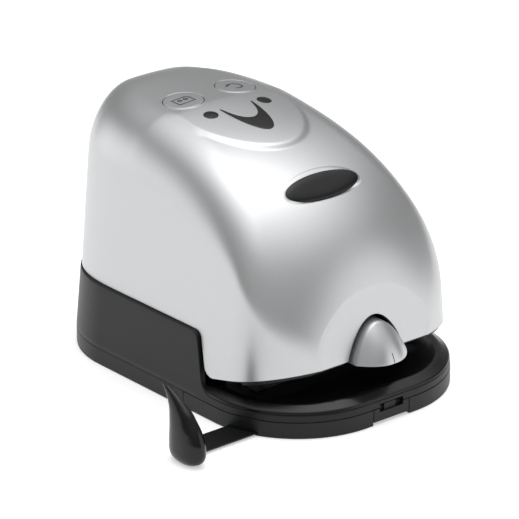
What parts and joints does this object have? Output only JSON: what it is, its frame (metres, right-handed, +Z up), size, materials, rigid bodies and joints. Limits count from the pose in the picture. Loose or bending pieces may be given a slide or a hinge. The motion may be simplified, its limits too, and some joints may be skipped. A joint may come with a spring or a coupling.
{
  "type": "electric hole punch",
  "caption": "Motor-driven desk punch: rounded silver hood over a dark base with a front paper throat, chip tray, round push keys and a sliding side guide.",
  "frame": {"origin": "middle of the underside, on the front rubber strip, at desk level", "axes": "+X to the right seen from the front, -Y towards the paper, +Z up"},
  "size_m": [0.1717, 0.19, 0.1251],
  "materials": {
    "silver_paint": "satin metallic silver paint",
    "gloss_black": "high gloss black",
    "smoked_lens": "smoked clear",
    "charcoal_plastic": "fine satin texture",
    "black_rubber": "matte",
    "plated_steel": "zinc plated",
    "hard_steel": "ground",
    "spring_steel": "bright drawn",
    "bronze": "sintered bronze",
    "white_nylon": "natural",
    "green_board": "solder resist"
  },
  "bodies": {
    "housing": {"top_cover": "silver_paint", "centre_guide": "silver_paint", "crescent_inlay": "gloss_black", "badge_plate": "gloss_black", "front_deck": "gloss_black", "indicator_lens_left": "smoked_lens", "indicator_lens_right": "smoked_lens", "base_housing": "charcoal_plastic", "bottom_cover": "charcoal_plastic", "throat_roof": "charcoal_plastic", "rubber_strips": "black_rubber", "punch_frame": "plated_steel", "frame_cheeks": "plated_steel", "die_holder": "plated_steel", "die_plate": "hard_steel", "guide_bushes": "bronze", "return_springs": "spring_steel", "punch_button_spring": "spring_steel", "reverse_button_spring": "spring_steel", "cam_bearings": "bronze", "idler_shaft": "hard_steel", "gear_bracket": "plated_steel", "drive_motor": "plated_steel", "motor_gearbox": "plated_steel", "power_socket": "gloss_black", "control_board": "green_board", "board_parts": "gloss_black", "switch_board": "green_board", "tact_switches": "gloss_black", "indicator_lamps": "smoked_lens", "housing_screws": "plated_steel", "frame_screws": "plated_steel", "bracket_screws": "plated_steel", "board_fixings": "plated_steel"},
    "chip_tray": {"chip_tray": "charcoal_plastic", "tray_feet": "black_rubber"},
    "tray_latch": {"tray_latch": "charcoal_plastic"},
    "paper_guide": {"paper_guide_bar": "charcoal_plastic", "guide_leaf": "gloss_black"},
    "punch_button": {"punch_button": "silver_paint"},
    "reverse_button": {"reverse_button": "silver_paint"},
    "cam_shaft": {"cam_shaft": "hard_steel", "punch_cams": "hard_steel", "cam_gear": "white_nylon", "shaft_clips": "plated_steel"},
    "carriage": {"punch_carriage": "plated_steel", "punch_pins": "hard_steel", "pin_clips": "plated_steel"},
    "idler": {"idler_gear": "white_nylon"},
    "pinion": {"drive_pinion": "bronze", "output_shaft": "hard_steel"}
  },
  "joints": [
    {"name": "tray_slide", "type": "slide", "parent": "housing", "child": "chip_tray", "axis": [0, -1, 0], "range_m": [0, 0.06]},
    {"name": "latch_tip", "type": "hinge", "parent": "chip_tray", "child": "tray_latch", "pos_m": [0, -0.0879, 0.0018], "axis": [1, 0, 0], "range_deg": [0, 7], "stiffness_Nm_per_rad": 0.05},
    {"name": "side_guide_slide", "type": "slide", "parent": "chip_tray", "child": "paper_guide", "axis": [1, 0, 0], "range_m": [-0.056, 0.034]},
    {"name": "punch_button_press", "type": "slide", "parent": "housing", "child": "punch_button", "axis": [0, 0, -1], "range_m": [0, 0.001], "stiffness_N_per_m": 800, "springref_m": -0.0005, "deforming": ["punch_button_spring"]},
    {"name": "reverse_button_press", "type": "slide", "parent": "housing", "child": "reverse_button", "axis": [0, 0, -1], "range_m": [0, 0.001], "stiffness_N_per_m": 800, "springref_m": -0.0005, "deforming": ["reverse_button_spring"]},
    {"name": "cam_turn", "type": "hinge", "parent": "housing", "child": "cam_shaft", "pos_m": [0, -0.045, 0.072], "axis": [1, 0, 0], "range_deg": [0, 180]},
    {"name": "punch_stroke", "type": "slide", "parent": "housing", "child": "carriage", "axis": [0, 0, -1], "range_m": [0, 0.008], "deforming": ["return_springs"]},
    {"name": "idler_turn", "type": "hinge", "parent": "housing", "child": "idler", "pos_m": [0, -0.01053, 0.06592], "axis": [1, 0, 0], "range_deg": [-270, 0]},
    {"name": "pinion_turn", "type": "hinge", "parent": "housing", "child": "pinion", "pos_m": [0, 0.0085, 0.05705], "axis": [1, 0, 0], "range_deg": [0, 540]}
  ],
  "couplings": [
    {"joint": "punch_stroke", "follows": "cam_turn", "m_per_rad": 0.0025464},
    {"joint": "idler_turn", "follows": "cam_turn", "ratio": -1.5},
    {"joint": "pinion_turn", "follows": "cam_turn", "ratio": 3}
  ]
}
